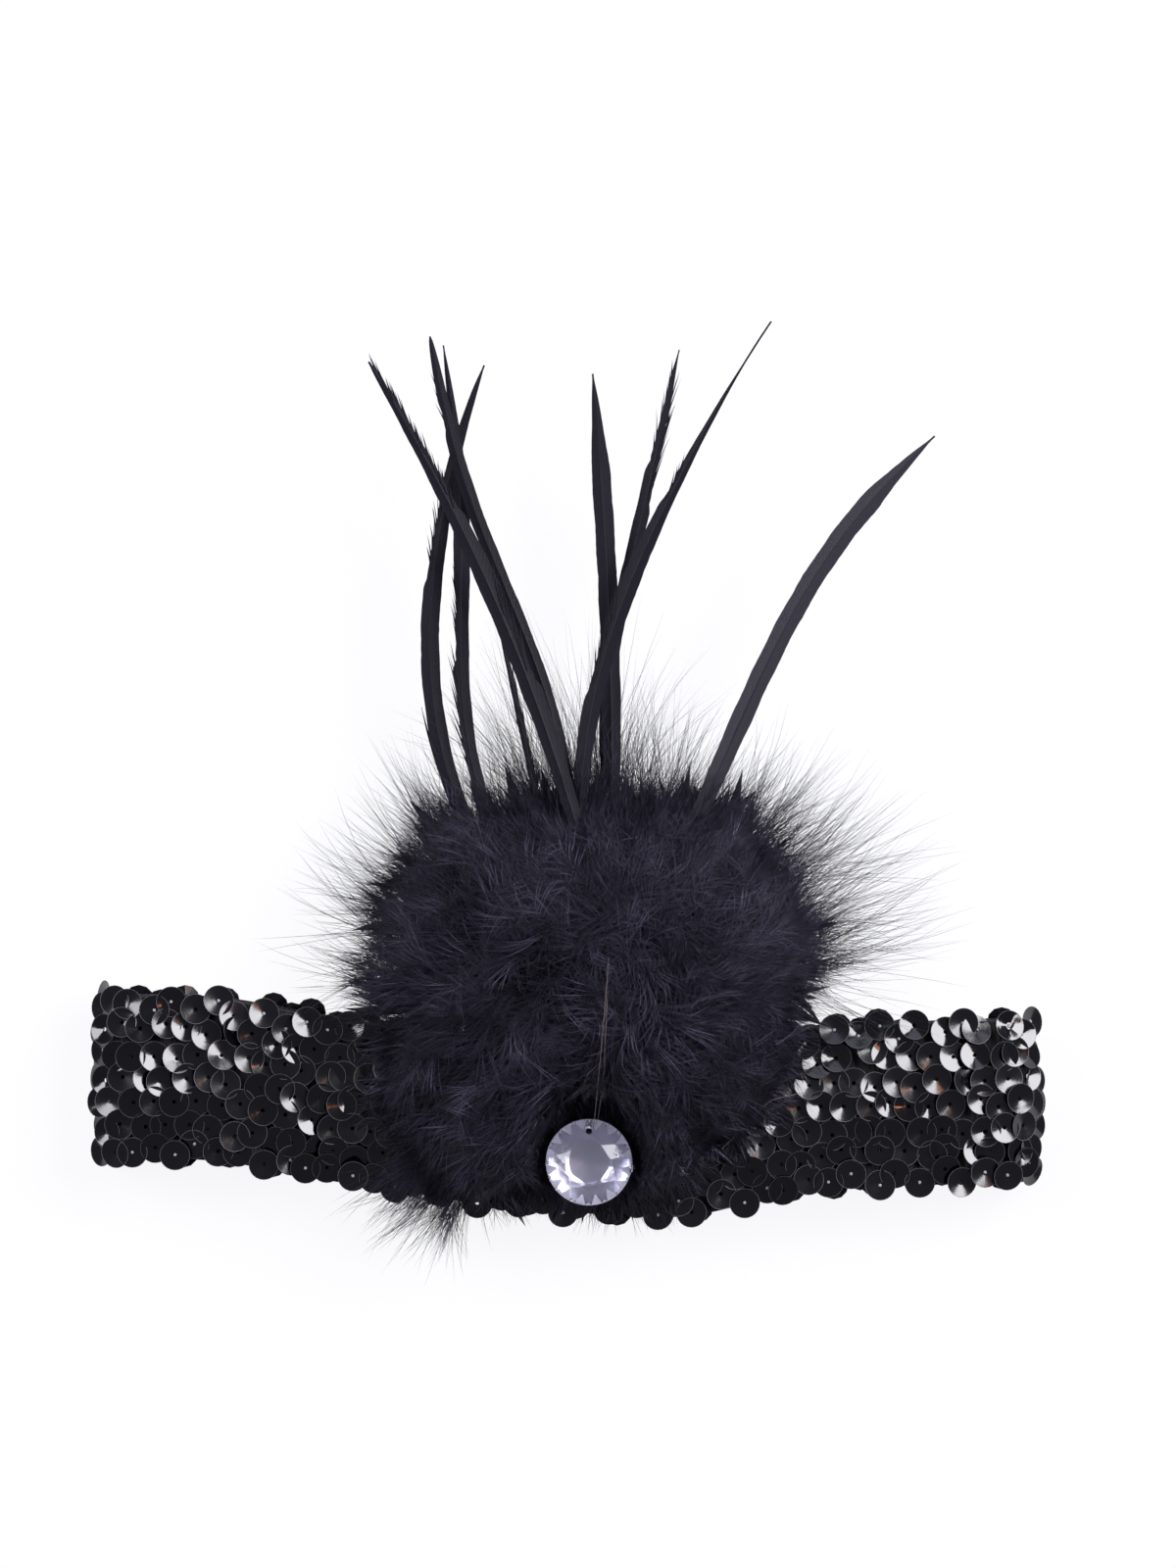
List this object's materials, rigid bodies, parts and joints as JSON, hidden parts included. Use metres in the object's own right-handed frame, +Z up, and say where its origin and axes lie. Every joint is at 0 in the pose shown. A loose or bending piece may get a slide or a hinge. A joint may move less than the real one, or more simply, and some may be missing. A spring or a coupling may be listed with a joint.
{
  "type": "flapper feather headband",
  "caption": "Stretch sequin headband lying flat, with a marabou puff, a spray of blade feathers and a clear faceted drop stone on its front.",
  "frame": {"origin": "on the flat underside of the band, in the middle of its span", "axes": "+Z up out of the front of the headband, which lies on its back; +Y towards the feather tips; +X to the right as seen from the front"},
  "size_m": [0.1979, 0.1923, 0.0455],
  "materials": {
    "sequin_trim": "glossy black cup sequins on black stretch knit",
    "down": "soft matt black marabou down",
    "blade_feather": "smooth black feather, semi-gloss",
    "clear_stone": "clear moulded acrylic, polished facets"
  },
  "bodies": {
    "root": {"sequin_band": "sequin_trim", "marabou_puff": "down", "left_outer_feather": "blade_feather", "left_tall_feather": "blade_feather", "left_straight_feather": "blade_feather", "left_bowed_feather": "blade_feather", "left_short_feather": "blade_feather", "left_thin_feather": "blade_feather", "middle_feather": "blade_feather", "split_feather": "blade_feather", "right_tall_feather": "blade_feather", "right_outer_feather": "blade_feather", "drop_stone": "clear_stone"}
  },
  "joints": []
}
